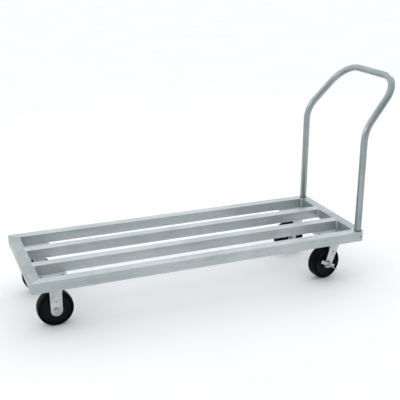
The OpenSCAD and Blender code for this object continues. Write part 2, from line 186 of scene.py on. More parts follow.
def hexagon(flats, height, bore=0.0, both=False, steps=72):
    """A hexagon head or nut from z = 0 to height, its top, or both ends, turned to a 30 degree chamfer."""
    apothem = flats / 2
    crown = apothem * 0.94
    slope = math.tan(math.radians(30))

    def radius(i):
        angle = (2 * math.pi * i / steps + math.pi / 6) % (math.pi / 3) - math.pi / 6
        return apothem / math.cos(angle)

    rings = []

    def ring(radii, heights):
        rings.append([(r * math.cos(2 * math.pi * i / steps), r * math.sin(2 * math.pi * i / steps), z)
                      for i, (r, z) in enumerate(zip(radii, heights))])

    outer = [radius(i) for i in range(steps)]
    inner = bore if bore else 1e-5
    drop = [max(0.0, r - crown) * slope for r in outer]
    flat = [inner] * steps
    lip = 0.0006 if bore else 0.0
    ring([inner + lip] * steps, [0.0] * steps)
    ring([crown] * steps, [0.0] * steps)
    ring(outer, drop if both else [0.0002] * steps)
    ring(outer, [height - d for d in drop])
    ring([crown] * steps, [height] * steps)
    ring([inner + lip] * steps, [height] * steps)
    if bore:
        ring(flat, [height - lip] * steps)
        ring(flat, [lip] * steps)
    points = [p for r in rings for p in r]
    faces, count = [], len(rings)
    for k in range(count if bore else count - 1):
        a, b = k * steps, ((k + 1) % count) * steps
        faces += [[a + i, a + (i + 1) % steps, b + (i + 1) % steps, b + i] for i in range(steps)]
    if not bore:
        faces += [list(range(steps))[::-1], [(count - 1) * steps + i for i in range(steps)]]
    return points, faces


def thread(radius, low, high, pitch=0.00175, depth=0.00075, steps=36, per_turn=6):
    """A screw thread from z = low to high, with a chamfered tip at the high end and a plain cut at the low one."""
    count = max(2, int((high - low) / pitch * per_turn))
    points = []
    for k in range(count + 1):
        z = low + (high - low) * k / count
        taper = max(0.0, (z - (high - 0.0014))) * 0.9
        for i in range(steps):
            phase = (z / pitch - i / steps) % 1.0
            r = radius - depth * abs(2 * phase - 1) - taper
            points.append((r * math.cos(2 * math.pi * i / steps), r * math.sin(2 * math.pi * i / steps), z))
    faces = [[k * steps + i, k * steps + (i + 1) % steps, (k + 1) * steps + (i + 1) % steps, (k + 1) * steps + i]
             for k in range(count) for i in range(steps)]
    faces += [list(range(steps))[::-1], [count * steps + i for i in range(steps)]]
    return points, faces


def resample(path, step):
    """Points along a polyline at an even step, with the distance gone at each."""
    path = [Vector(p) for p in path]
    lengths = [(b - a).length for a, b in zip(path, path[1:])]
    total = sum(lengths)
    count = max(2, round(total / step))
    out, leg, gone = [], 0, 0.0
    for k in range(count + 1):
        s = total * k / count
        while leg < len(lengths) - 1 and gone + lengths[leg] < s:
            gone += lengths[leg]
            leg += 1
        t = (s - gone) / lengths[leg]
        out.append((path[leg].lerp(path[leg + 1], min(1.0, t)), s))
    return out, total


def weld_bead(path, width, height, up, seed, pitch=0.0026, steps=14):
    """A rippled fillet along a path: half-width across, height towards up, like a row of overlapping coins."""
    rnd = random.Random(seed)
    wander = [rnd.uniform(0.92, 1.08) for _ in range(400)]
    places, total = resample(path, pitch / 7)
    up = Vector(up).normalized()
    points = []
    for k, (p, s) in enumerate(places):
        ahead = places[min(k + 1, len(places) - 1)][0] - places[max(k - 1, 0)][0]
        along = ahead.normalized()
        across = along.cross(up).normalized()
        rise = across.cross(along).normalized()
        end = min(1.0, math.sqrt(max(0.0, 1 - (1 - min(s, total - s) / width) ** 2)) if min(s, total - s) < width else 1.0)
        end = max(end, 0.08)
        for i in range(steps):
            angle = 2 * math.pi * i / steps
            lag = 0.45 * (1 - abs(math.sin(angle)))
            turn = s / pitch + lag
            coin = turn % 1.0
            ripple = 0.80 + 0.20 * math.sqrt(max(0.0, 1 - (1.25 * coin - 0.45) ** 2))
            size = end * wander[int(turn) % 400] * ripple
            points.append(p + across * (math.cos(angle) * width * size) + rise * (math.sin(angle) * height * size))
    count = len(places)
    faces = [[k * steps + i, k * steps + (i + 1) % steps, (k + 1) * steps + (i + 1) % steps, (k + 1) * steps + i]
             for k in range(count - 1) for i in range(steps)]
    faces += [list(range(steps))[::-1], [(count - 1) * steps + i for i in range(steps)]]
    return points, faces


def refine(node, material, width, segments=3, angle=28):
    """A copy of a CAD part with its vertices joined and its sharp edges rounded."""
    source = frame["nodes"][node]
    mesh = source.data.copy()
    mesh.name = node + "_finished"
    built = bmesh.new()
    built.from_mesh(mesh)
    bmesh.ops.remove_doubles(built, verts=built.verts, dist=2e-6)
    bmesh.ops.dissolve_limit(built, angle_limit=math.radians(0.4), verts=built.verts, edges=built.edges)
    bmesh.ops.recalc_face_normals(built, faces=built.faces)
    built.to_mesh(mesh)
    built.free()
    mesh.shade_smooth()
    obj = bpy.data.objects.new(node + "_finished", mesh)
    bpy.context.scene.collection.objects.link(obj)
    bevel = obj.modifiers.new("round", "BEVEL")
    bevel.width, bevel.segments = width, segments
    bevel.limit_method, bevel.angle_limit = "ANGLE", math.radians(angle)
    bevel.use_clamp_overlap = True
    weighted = obj.modifiers.new("flat_faces", "WEIGHTED_NORMAL")
    weighted.keep_sharp = False
    return dress(obj, material, source["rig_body"], [node])


# ---------------------------------------------------------------- material graph

class Graph:
    """A material and the few node patterns that all of them are made from."""

    def __init__(self, name, color, roughness, metallic=1.0):
        self.material = bpy.data.materials.new(name)
        self.material.use_nodes = True
        self.tree = self.material.node_tree
        self.shader = self.tree.nodes["Principled BSDF"]
        self.shader.inputs["Base Color"].default_value = (*color, 1)
        self.shader.inputs["Roughness"].default_value = roughness
        self.shader.inputs["Metallic"].default_value = metallic

    def node(self, kind, **values):
        made = self.tree.nodes.new("ShaderNode" + kind)
        for key, value in values.items():
            setattr(made, key, value)
        return made

    def join(self, a, b):
        self.tree.links.new(a, b)

    def coordinates(self, stretch, source="Object"):
        where = self.node("TexCoord")
        mapping = self.node("Mapping")
        mapping.inputs["Scale"].default_value = stretch
        self.join(where.outputs[source], mapping.inputs["Vector"])
        return mapping.outputs["Vector"]

    def noise(self, scale, stretch=(1, 1, 1), detail=3.0, rough=0.5, source="Object", distortion=0.0):
        made = self.node("TexNoise")
        made.inputs["Scale"].default_value = scale
        made.inputs["Detail"].default_value = detail
        made.inputs["Roughness"].default_value = rough
        made.inputs["Distortion"].default_value = distortion
        self.join(self.coordinates(stretch, source), made.inputs["Vector"])
        return made.outputs["Fac"]

    def span(self, value, low, high, to_low=0.0, to_high=1.0, smooth=True):
        made = self.node("MapRange", interpolation_type="SMOOTHSTEP" if smooth else "LINEAR")
        for key, number in (("From Min", low), ("From Max", high), ("To Min", to_low), ("To Max", to_high)):
            made.inputs[key].default_value = number
        self.join(value, made.inputs["Value"])
        return made.outputs["Result"]

    def math(self, kind, a, b=None):
        made = self.node("Math", operation=kind)
        for i, value in enumerate((a, b)):
            if value is None:
                continue
            if isinstance(value, (int, float)):
                made.inputs[i].default_value = value
            else:
                self.join(value, made.inputs[i])
        return made.outputs[0]

    def ramp(self, value, stops):
        made = self.node("ValToRGB")
        ramp = made.color_ramp
        while len(ramp.elements) < len(stops):
            ramp.elements.new(0.5)
        for element, (at, color) in zip(ramp.elements, stops):
            element.position, element.color = at, (*color, 1)
        self.join(value, made.inputs["Fac"])
        return made.outputs["Color"]

    def mix(self, share, a, b):
        made = self.node("Mix", data_type="RGBA")
        self.join(share, made.inputs[0])
        for socket, value in ((made.inputs[6], a), (made.inputs[7], b)):
            if isinstance(value, tuple):
                socket.default_value = (*value, 1)
            else:
                self.join(value, socket)
        return made.outputs[2]

    def edges(self, radius, sharp=0.06):
        """1 on the rounded edges and 0 on the open faces."""
        bevel = self.node("Bevel", samples=4)
        bevel.inputs["Radius"].default_value = radius
        surface = self.node("NewGeometry")
        dot = self.node("VectorMath", operation="DOT_PRODUCT")
        self.join(bevel.outputs["Normal"], dot.inputs[0])
        self.join(surface.outputs["Normal"], dot.inputs[1])
        return self.span(dot.outputs["Value"], 1 - sharp, 1.0, 1.0, 0.0)

    def color(self, socket):
        self.join(socket, self.shader.inputs["Base Color"])

    def roughness(self, socket):
        self.join(socket, self.shader.inputs["Roughness"])

    def bump(self, height, distance, strength=1.0, onto=None):
        made = self.node("Bump")
        made.inputs["Strength"].default_value = strength
        made.inputs["Distance"].default_value = distance
        self.join(height, made.inputs["Height"])
        if onto is not None:
            self.join(onto, made.inputs["Normal"])
        self.join(made.outputs["Normal"], self.shader.inputs["Normal"])
        return made.outputs["Normal"]


# ---------------------------------------------------------------- materials

def drawn_aluminium(name, along, dark, light, rough=(0.26, 0.44), source="Object", blotch=5.0, metal=0.55):
    """Mill-finish aluminium with its drawing lines running along one axis, and faint blotches and handling marks."""
    g = Graph(name, light, rough[0], metal)
    fine = [700.0, 700.0, 700.0]
    coarse = [130.0, 130.0, 130.0]
    fine[along], coarse[along] = 5.0, 1.2
    lines = g.noise(1.0, tuple(fine), detail=2, rough=0.55, source=source)
    bands = g.noise(1.0, tuple(coarse), detail=3, rough=0.5, source=source)
    cloud = g.noise(blotch, (1, 1, 1), detail=5, rough=0.62, distortion=0.6)
    specks = g.noise(260, (1, 1, 1), detail=3, rough=0.6)
    tone = g.math("ADD", g.math("MULTIPLY", lines, 0.45), g.math("MULTIPLY", bands, 0.55))
    tone = g.math("ADD", g.math("MULTIPLY", tone, 0.55), g.math("MULTIPLY", cloud, 0.45))
    base = g.ramp(tone, [(0.36, dark), (0.62, light)])
    wear = g.math("MULTIPLY", g.edges(0.0016), g.span(cloud, 0.35, 0.6, 0.35, 0.8))
    base = g.mix(wear, base, (0.74, 0.76, 0.77))
    scratch = g.noise(1.0, tuple(3.0 if i == along else 1500.0 for i in range(3)), detail=1, source=source)
    scratch = g.math("MULTIPLY", g.span(scratch, 0.70, 0.78), g.span(cloud, 0.42, 0.55))
    stain = g.math("ADD", g.math("MULTIPLY", g.span(specks, 0.60, 0.74), 0.35), g.math("MULTIPLY", scratch, 0.28))
    g.color(g.mix(stain, base, tuple(c * 0.62 for c in dark)))
    g.roughness(g.span(tone, 0.36, 0.64, rough[1], rough[0]))
    g.bump(g.math("ADD", g.math("MULTIPLY", lines, 0.6), g.math("MULTIPLY", bands, 0.9)), 0.00010, 0.55)
    return g.material


def sheet_aluminium():
    """Rolled plate with a short cross-hatched grain and shear marks."""
    g = Graph("plate_finish", (0.70, 0.73, 0.74), 0.34, 0.35)
    rolled = g.noise(1.0, (420, 14, 200), detail=3, rough=0.6)
    cloud = g.noise(9, detail=5, rough=0.6, distortion=0.8)
    pits = g.noise(520, detail=2)
    tone = g.math("ADD", g.math("MULTIPLY", rolled, 0.5), g.math("MULTIPLY", cloud, 0.5))
    base = g.ramp(tone, [(0.34, (0.64, 0.685, 0.69)), (0.66, (0.80, 0.83, 0.835))])
    g.color(g.mix(g.edges(0.0012), base, (0.88, 0.89, 0.90)))
    g.roughness(g.span(tone, 0.35, 0.65, 0.48, 0.30))
    g.bump(g.math("ADD", rolled, g.math("MULTIPLY", pits, 0.35)), 0.00009, 0.6)
    return g.material


def weld_aluminium():
    """Bead metal with random grey soot patches; a pointiness mask lightens the ripple crests as painted highlight and
    darkens the valleys as painted shade.
    """
    g = Graph("weld_finish", (0.40, 0.42, 0.43), 0.36, 0.8)
    soot = g.noise(210, detail=4, rough=0.65)
    grain = g.noise(1600, detail=2)
    surface = g.node("NewGeometry")
    # Painted highlight on the bead crests and painted shade in the ripple valleys, from the pointiness of the mesh.
    raised = g.span(surface.outputs["Pointiness"], 0.44, 0.56)
    tone = g.math("ADD", g.math("MULTIPLY", raised, 0.6), g.math("MULTIPLY", soot, 0.4))
    g.color(g.ramp(tone, [(0.22, (0.10, 0.115, 0.12)), (0.50, (0.34, 0.365, 0.375)), (0.80, (0.62, 0.64, 0.65))]))
    g.roughness(g.span(tone, 0.2, 0.8, 0.55, 0.27))
    g.bump(grain, 0.00005, 0.5)
    return g.material


def zinc(name, dark, light, rough=(0.30, 0.50), grain=900.0):
    """Zinc plating: a pale blue-grey with soft crystal patches, fine pores and brighter edges."""
    g = Graph(name, light, rough[0])
    crystal = g.node("TexVoronoi", feature="SMOOTH_F1")
    crystal.inputs["Scale"].default_value = 190
    crystal.inputs["Smoothness"].default_value = 0.7
    g.join(g.coordinates((1, 1, 1)), crystal.inputs["Vector"])
    cloud = g.noise(26, detail=5, rough=0.6, distortion=0.5)
    pores = g.noise(grain, detail=2)
    tone = g.math("ADD", g.math("MULTIPLY", crystal.outputs["Distance"], 0.35), g.math("MULTIPLY", cloud, 0.65))
    base = g.ramp(tone, [(0.30, dark), (0.66, light)])
    g.color(g.mix(g.edges(0.0010), base, (0.90, 0.91, 0.915)))
    g.roughness(g.span(tone, 0.3, 0.68, rough[1], rough[0]))
    g.bump(g.math("ADD", pores, g.math("MULTIPLY", crystal.outputs["Distance"], 0.8)), 0.00006, 0.5)
    return g.material


def tyre_rubber():
    """Black rubber: a fine grain and dusty scuffs in patches over the whole tyre."""
    g = Graph("tyre_finish", (0.012, 0.012, 0.013), 0.5, 0.0)
    g.shader.inputs["Specular IOR Level"].default_value = 0.05
    grain = g.noise(1500, detail=3, rough=0.6)
    scuff = g.noise(46, (1, 1, 1), detail=6, rough=0.7, distortion=1.2)
    fine = g.noise(420, detail=4, rough=0.7)
    marks = g.math("MULTIPLY", g.span(scuff, 0.50, 0.72), g.span(fine, 0.42, 0.66))
    g.color(g.ramp(marks, [(0.0, (0.0020, 0.0026, 0.0026)), (0.45, (0.0050, 0.0056, 0.0056)), (1.0, (0.024, 0.025, 0.025))]))
    g.roughness(g.span(marks, 0.0, 0.8, 0.48, 0.70))
    g.bump(g.math("ADD", grain, g.math("MULTIPLY", scuff, 0.7)), 0.00010, 0.6)
    return g.material


def core_paint():
    """Semi-gloss black enamel with an orange-peel skin, worn thin on its edges."""
    g = Graph("core_finish", (0.014, 0.014, 0.015), 0.36, 0.0)
    peel = g.noise(330, detail=2)
    g.shader.inputs["Specular IOR Level"].default_value = 0.10
    dust = g.noise(60, detail=5, rough=0.65)
    base = g.ramp(dust, [(0.40, (0.0030, 0.0036, 0.0036)), (0.75, (0.010, 0.011, 0.011))])
    g.color(g.mix(g.math("MULTIPLY", g.edges(0.0012), 0.30), base, (0.10, 0.10, 0.10)))
    g.roughness(g.span(dust, 0.35, 0.7, 0.30, 0.50))
    g.bump(peel, 0.00014, 0.5)
    return g.material


def moulded_cam():
    """Black moulded brake cam with a satin skin and flow lines."""
    g = Graph("cam_finish", (0.03, 0.03, 0.032), 0.45, 0.0)
    flow = g.noise(150, (1, 1, 0.3), detail=4, rough=0.6, distortion=1.5)
    g.color(g.ramp(flow, [(0.35, (0.018, 0.018, 0.019)), (0.7, (0.045, 0.045, 0.046))]))
    g.roughness(g.span(flow, 0.35, 0.7, 0.38, 0.55))
    g.bump(flow, 0.00012, 0.5)
    return g.material


def black_oxide():
    """Oiled black steel of the socket screws."""
    g = Graph("screw_finish", (0.05, 0.052, 0.055), 0.38, 0.9)
    wipe = g.noise(700, (1, 1, 1), detail=4, rough=0.6)
    base = g.ramp(wipe, [(0.35, (0.030, 0.032, 0.035)), (0.7, (0.085, 0.087, 0.09))])
    g.color(g.mix(g.edges(0.0004), base, (0.28, 0.28, 0.28)))
    g.roughness(g.span(wipe, 0.35, 0.7, 0.30, 0.48))
    return g.material


def ground_steel():
    """Ground bearing steel with turning rings and a little oil."""
    g = Graph("bearing_finish", (0.60, 0.60, 0.60), 0.24)
    oil = g.noise(90, detail=5, rough=0.6)
    rings = g.noise(1.0, (900, 900, 900), detail=2)
    g.color(g.ramp(oil, [(0.35, (0.42, 0.41, 0.39)), (0.65, (0.66, 0.66, 0.66))]))
    g.roughness(g.span(oil, 0.35, 0.65, 0.34, 0.18))
    g.bump(rings, 0.00004, 0.4)
    return g.material


def floor_paper():
    g = Graph("floor_paper", (0.90, 0.90, 0.90), 0.85, 0.0)
    g.shader.inputs["Specular IOR Level"].default_value = 0.1
    cloud = g.noise(1.4, detail=4)
    g.color(g.ramp(cloud, [(0.3, (0.895, 0.897, 0.90)), (0.7, (0.92, 0.92, 0.92))]))
    return g.material


X_RAILS = drawn_aluminium("rail_finish_x", 0, (0.36, 0.405, 0.415), (0.50, 0.535, 0.545))
# The end rails get a darker copy of the rail finish as painted shade: it stands in for the dimmer reflection of their
# grain, which runs across the view.
Y_RAILS_PAINTED_SHADE = drawn_aluminium("rail_finish_y_painted_shade", 1, (0.25, 0.29, 0.295), (0.38, 0.42, 0.425))
Z_SOCKETS = drawn_aluminium("socket_finish", 2, (0.38, 0.41, 0.425), (0.54, 0.565, 0.58))
HANDLE = drawn_aluminium("handle_finish", 1, (0.21, 0.25, 0.255), (0.37, 0.41, 0.415), (0.20, 0.34), source="UV", metal=0.95)
PLATE = sheet_aluminium()
WELD = weld_aluminium()
CASTER_ZINC = zinc("caster_finish", (0.40, 0.43, 0.44), (0.60, 0.625, 0.635))
FASTENER = zinc("fastener_finish", (0.28, 0.305, 0.315), (0.50, 0.525, 0.535), (0.22, 0.40), 1500.0)
RUBBER = tyre_rubber()
CORE = core_paint()
CAM = moulded_cam()
SCREW = black_oxide()
STEEL = ground_steel()


# ---------------------------------------------------------------- deck

def rails():
    for side in (NEAR, FAR):
        refine("side_rail_" + side, X_RAILS, 0.0014)
        refine("inner_rail_" + side, X_RAILS, 0.0014)
        refine("handle_socket_" + side, Z_SOCKETS, 0.0009)
        for end in ("front", "rear"):
            refine(f"corner_plate_{end}_{side}", PLATE, 0.0008)
    for end in ("front", "rear"):
        refine("end_rail_" + end, Y_RAILS_PAINTED_SHADE, 0.0014)


def deck_welds():
    """Beads at the ends of the inner rails, in the front corners and round the sockets."""
    soup, seed = Soup(), 1
    low, high = RAIL_LOW_Z + 0.003, RAIL_TOP_Z - 0.0015
    ends = ((FRONT_X + RAIL, 1), (REAR_X - RAIL, -1))
    for x, inward in ends:
        for rail_y in (-INNER_Y, INNER_Y):
            for way in (-1, 1):
                y = rail_y + way * RAIL / 2
                corner = [(x, y, low), (x, y, high)]
                soup.add(weld_bead(corner, 0.0060, 0.0046, (inward, way, 0), seed, 0.0058))
                seed += 1
            for z, up in ((RAIL_TOP_Z - 0.0004, 1), (RAIL_LOW_Z + 0.0004, -1)):
                across = [(x, rail_y - RAIL / 2, z), (x, rail_y + RAIL / 2, z)]
                soup.add(weld_bead(across, 0.0034, 0.0011, (0, 0, up), seed))
                seed += 1
        for way in (-1, 1):
            y = way * (HALF_W - RAIL)
            soup.add(weld_bead([(x, y, low), (x, y, high)], 0.0060, 0.0046, (inward, -way, 0), seed, 0.0058))
            seed += 1
    for way in (-1, 1):
        corner = (FRONT_X + 0.002, way * (HALF_W - 0.002))
        inner = (FRONT_X + RAIL - 0.001, way * (HALF_W - RAIL + 0.001))
        for z, up in ((RAIL_TOP_Z - 0.0006, 1), (RAIL_LOW_Z + 0.0006, -1)):
            soup.add(weld_bead([(*corner, z), (*inner, z)], 0.0026, 0.0009, (0, 0, up), seed))
            seed += 1
        edge = (FRONT_X + 0.0015, way * (HALF_W - 0.0015))
        soup.add(weld_bead([(*edge, low), (*edge, high)], 0.0013, 0.0010, (-1, way, 0), seed))
        seed += 1
    for way in (-1, 1):
        cope = 0.0086
        x, y = LEG_X - cope, LEG_Y + math.sqrt(SOCKET_R ** 2 - cope ** 2)
        soup.add(weld_bead([(x + 0.0002, way * (y - 0.0002), low), (x + 0.0002, way * (y - 0.0002), high)],
                           0.0022, 0.0012, (0, way, 0), seed))
        x, y = LEG_X + math.sqrt(SOCKET_R ** 2 - cope ** 2), LEG_Y - cope
        soup.add(weld_bead([(x - 0.0002, way * (y + 0.0002), low), (x - 0.0002, way * (y + 0.0002), high)],
                           0.0022, 0.0012, (1, 0, 0), seed + 1))
        for z, up in ((RAIL_TOP_Z - 0.0004, 1), (RAIL_LOW_Z + 0.0004, -1)):
            arc = [(LEG_X + (SOCKET_R - 0.0003) * math.cos(a), way * (LEG_Y + (SOCKET_R - 0.0003) * math.sin(a)), z)
                   for a in [math.radians(112 + 226 * i / 40) for i in range(41)]]
            soup.add(weld_bead(arc, 0.0026, 0.0010, (0, 0, up), seed + 2))
            seed += 1
        seed += 3
    soup.piece("deck_weld_beads", WELD, "deck", "rail_aluminium", sharp=80)


def plate_welds():
    """Stitch beads that hold the corner plates to the undersides of the rails."""
    soup, seed = Soup(), 400
    z = RAIL_LOW_Z - 0.0003
    for end in ("front", "rear"):
        for side in (NEAR, FAR):
            low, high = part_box(f"corner_plate_{end}_{side}")
            outer, way = (low.y, -1) if side == NEAR else (high.y, 1)
            for x in (low.x + 0.012, (low.x + high.x) / 2 - 0.016, high.x - 0.044):
                soup.add(weld_bead([(x, outer, z), (x + 0.032, outer, z)], 0.0034, 0.0034, (0, way, -1), seed))
                seed += 1
            x, way = (low.x, -1) if end == "front" else (high.x, 1)
            middle = (low.y + high.y) / 2
            for y in (low.y + 0.018, middle - 0.016, high.y - 0.050):
                soup.add(weld_bead([(x, y, z), (x, y + 0.032, z)], 0.0034, 0.0034, (way, 0, -1), seed))
                seed += 1
    soup.piece("plate_weld_beads", WELD, "deck", "plate_aluminium", sharp=80)


# ---------------------------------------------------------------- handle

def handle_path(side):
    """Centreline of half the handle: up the leg, out and in along the lean, round the corner to the bar's middle."""
    way = SIDE[side]
    foot, out, up = Vector((LEG_X, way * LEG_Y, FOOT_Z)), Vector((0, way, 0)), Vector((0, 0, 1))
    points = [foot.lerp(Vector((LEG_X, way * LEG_Y, BEND_Z)), i / 40) for i in range(40)]
    away = Vector((math.cos(CLOSE), -way * math.sin(CLOSE), 0))
    for i in range(41):
        a = LEAN * i / 40
        points.append(Vector((LEG_X, way * LEG_Y, BEND_Z)) + away * LEAN_R * (1 - math.cos(a)) + up * LEAN_R * math.sin(a))
    along = (away * math.sin(LEAN) + up * math.cos(LEAN)).normalized()
    steep = (along - out * along.dot(out)).normalized()
    close = math.asin(-along.dot(out))
    shoulder = points[-1]
    points += [shoulder + along * LEAN_STRAIGHT * i / 12 for i in range(1, 12)]
    centre = shoulder + along * LEAN_STRAIGHT - (out * math.cos(close) + steep * math.sin(close)) * CORNER_R
    for i in range(65):
        a = close + (math.pi / 2 - close) * i / 64
        points.append(centre + out * CORNER_R * math.cos(a) + steep * CORNER_R * math.sin(a))
    last = points[-1]
    return points + [last - out * abs(last.y) * i / 12 for i in range(1, 13)]


def handle():
    """The whole bent tube, hollow, with its cut feet rounded off."""
    near, far = handle_path(NEAR), handle_path(FAR)
    path = near + far[:-1][::-1]
    steps, points, uvs, faces = 64, [], [], []
    gone = [0.0]
    for a, b in zip(path, path[1:]):
        gone.append(gone[-1] + (b - a).length)
    tangents = [(path[min(i + 1, len(path) - 1)] - path[max(i - 1, 0)]).normalized() for i in range(len(path))]
    side_axis = Vector((1, 0, 0))
    frames = []
    for t in tangents:
        side_axis = (side_axis - t * side_axis.dot(t)).normalized()
        frames.append((side_axis.copy(), t.cross(side_axis)))

    def ring(i, radius, lift=0.0):
        a, b = frames[i]
        first = len(points)
        for k in range(steps):
            angle = 2 * math.pi * k / steps
            points.append(path[i] + tangents[i] * lift + (a * math.cos(angle) + b * math.sin(angle)) * radius)
            uvs.append((k / steps * 0.1, gone[i] + lift))
        return first

    inner = TUBE_R - TUBE_WALL
    lip = 0.0006
    last = len(path) - 1
    rings = [ring(0, TUBE_R - lip, 0.0), ring(0, TUBE_R - lip * 0.3, lip * 0.3), ring(0, TUBE_R, lip)]
    rings += [ring(i, TUBE_R) for i in range(1, last)]
    rings += [ring(last, TUBE_R, -lip), ring(last, TUBE_R - lip * 0.3, -lip * 0.3), ring(last, TUBE_R - lip)]
    rings += [ring(last, inner + lip), ring(last, inner, -lip)]
    rings += [ring(i, inner) for i in range(last - 1, 0, -1)]
    rings += [ring(0, inner, lip), ring(0, inner + lip)]
    for a, b in zip(rings, rings[1:] + rings[:1]):
        faces += [[a + k, a + (k + 1) % steps, b + (k + 1) % steps, b + k] for k in range(steps)]
    mesh = bpy.data.meshes.new("handle_tube_finished")
    mesh.from_pydata([tuple(p) for p in points], [], faces)
    layer = mesh.uv_layers.new(name="grain")
    for loop in mesh.loops:
        layer.data[loop.index].uv = uvs[loop.vertex_index]
    for poly in mesh.polygons:
        seen = [layer.data[i].uv.x for i in poly.loop_indices]
        if max(seen) - min(seen) > 0.05:
            for i in poly.loop_indices:
                if layer.data[i].uv.x < 0.05:
                    layer.data[i].uv.x += 0.1
    built = bmesh.new()
    built.from_mesh(mesh)
    bmesh.ops.recalc_face_normals(built, faces=built.faces)
    built.to_mesh(mesh)
    built.free()
    mesh.shade_smooth()
    mesh.set_sharp_from_angle(angle=math.radians(50))
    obj = bpy.data.objects.new("handle_tube_finished", mesh)
    bpy.context.scene.collection.objects.link(obj)
    dress(obj, HANDLE, "handle", ["handle_tube"])


# ---------------------------------------------------------------- casters

def caster_frame(end, side):
    """Place of a caster's wheel centre: X along the trail, Z outward along the axle."""
    if end == "front":
        centre, angle = Vector((RIGID_X, SIDE[side] * CASTER_Y, WHEEL_R)), 0.0
    else:
        centre, angle = Vector((SWIVEL_X, SIDE[side] * CASTER_Y, WHEEL_R)), TURN[side]
    u = Vector((math.cos(angle), math.sin(angle), 0))
    v = Vector((-math.sin(angle), math.cos(angle), 0)) * SIDE[side]
    if end == "rear":
        centre = centre - u * TRAIL
    across = v.cross(u)
    return Matrix((
        (u.x, across.x, v.x, centre.x), (u.y, across.y, v.y, centre.y),
        (u.z, across.z, v.z, centre.z), (0, 0, 0, 1)))


def tyre_shape():
    """Crowned tread with a moulding line, rounded shoulders, and a raised ring on each sidewall."""
    top, half, inner = WHEEL_R - 0.00003, WHEEL_HALF, WHEEL_R - 0.017
    crown, round_r = 0.0016, 0.005
    flat = half - round_r
    tread = []
    for i in range(-16, 17):
        z = flat * i / 16
        r = top - 0.00012 - crown * (z / flat) ** 2
        if abs(i) <= 1:
            r = top - (0.0 if i == 0 else 0.00010)
        tread.append((r, z if abs(i) != 1 else math.copysign(0.0004, i)))
    shoulder = []
    for i in range(1, 13):
        a = math.pi / 2 * i / 12
        shoulder.append((top - crown - round_r + round_r * math.cos(a), flat + round_r * math.sin(a)))
    wall = [(0.0676, half - 0.0001), (0.0664, half - 0.0007), (0.0652, half - 0.0007), (0.0642, half - 0.0001),
            (0.0634, half - 0.0004), (0.0630, half - 0.0011), (0.0620, half - 0.0013),
            (0.0612, half - 0.0010), (0.0608, half - 0.0003), (0.0600, half - 0.0001),
            (inner + 0.0003, half - 0.0004), (inner, half - 0.0010)]
    right = shoulder + wall
    left = [(r, -z) for r, z in reversed(right)]
    return lathe(left + tread + right, 128, closed=True)


def core_shape():
    """Black wheel core: rim lip, dished web with two turned steps, and a long hub with a chamfered end."""
    rim_out, rim_in, bore = WHEEL_R - 0.017, WHEEL_R - 0.024, 0.015
    half = WHEEL_HALF - 0.0015
    side = [(rim_out - 0.0001, half - 0.0008), (rim_out - 0.0008, half), (rim_in + 0.0012, half), (rim_in, half - 0.0012),
            (rim_in - 0.0006, 0.0180), (rim_in - 0.0022, 0.0168), (0.0405, 0.0160), (0.0398, 0.0148), (0.0330, 0.0145),
            (0.0322, 0.0158), (0.0258, 0.0168), (0.0236, 0.0184), (0.0228, 0.0210), (0.0226, 0.0262),
            (0.0214, 0.0280), (0.0195, 0.0285), (0.0162, 0.0285), (bore, 0.0277)]
    side = rounded(side, 0.0006, 3)
    other = [(r, -z) for r, z in reversed(side)]
    return lathe(other + side, 128, closed=True)


def wheel(end, side):
    body = f"{'front' if end == 'front' else 'rear'}_wheel_{side}"
    place = caster_frame(end, side)
    soup = Soup()
    soup.add(tyre_shape(), place)
    soup.piece(f"{end}_tyre_{side}_moulded", RUBBER, body, "tyre_rubber", [f"{end}_tyre_{side}"], sharp=60)
    soup = Soup()
    soup.add(core_shape(), place)
    soup.piece(f"{end}_core_{side}_cast", CORE, body, "core_black", [f"{end}_core_{side}"], sharp=50)


def fastener_along(place, head_at, nut_face, tip, flats, head_height, nut_height, radius):
    """A bolt along local Z: head outside head_at, nut inside nut_face, thread showing to tip. Returns head and nut shapes."""
    bolt, nut = Soup(), Soup()
    bolt.add(hexagon(flats, head_height), place @ Matrix.Translation((0, 0, head_at)))
    bolt.add(lathe([(0, nut_face + 0.001), (radius, nut_face + 0.001), (radius, head_at + 0.0002), (0, head_at + 0.0002)], 40), place)
    down = Matrix.Translation((0, 0, nut_face + 0.001)) @ Matrix.Rotation(math.pi, 4, "X")
    bolt.add(thread(radius, 0.0, nut_face + 0.001 - tip), place @ down)
    nut.add(hexagon(flats, nut_height, bore=radius + 0.0001, both=True),
            place @ Matrix.Translation((0, 0, nut_face - nut_height)))
    return bolt, nut


def axles():
    """Axle bolts with chamfered heads, nuts and threads, with their CAD places."""
    rigid_bolts, rigid_nuts = Soup(), Soup()
    tip = -LEG_OUT - 0.015
    for side in (NEAR, FAR):
        place = caster_frame("front", side)
        bolt, nut = fastener_along(place, LEG_OUT + 0.00005, -LEG_OUT - 0.00005, tip, AXLE_FLATS, 0.008, 0.01095, AXLE_R)
        rigid_bolts.add((bolt.points, bolt.faces))
        rigid_nuts.add((nut.points, nut.faces))
        place = caster_frame("rear", side)
        bolt, nut = fastener_along(place, LEVER_OUT + 0.0003, -LEG_OUT - 0.00005, tip, AXLE_FLATS, 0.008, 0.01095, AXLE_R)
        bolt.piece(f"rear_axle_bolt_{side}_turned", FASTENER, f"rear_fork_{side}", "zinc_fastener", [f"rear_axle_bolt_{side}"])
        nut.piece(f"rear_axle_nut_{side}_turned", FASTENER, f"rear_fork_{side}", "zinc_fastener", [f"rear_axle_nut_{side}"])
    rigid_bolts.piece("rigid_axle_bolts_turned", FASTENER, "deck", "zinc_fastener", ["rigid_axle_bolts"])
    rigid_nuts.piece("rigid_axle_nuts_turned", FASTENER, "deck", "zinc_fastener", ["rigid_axle_nuts"])


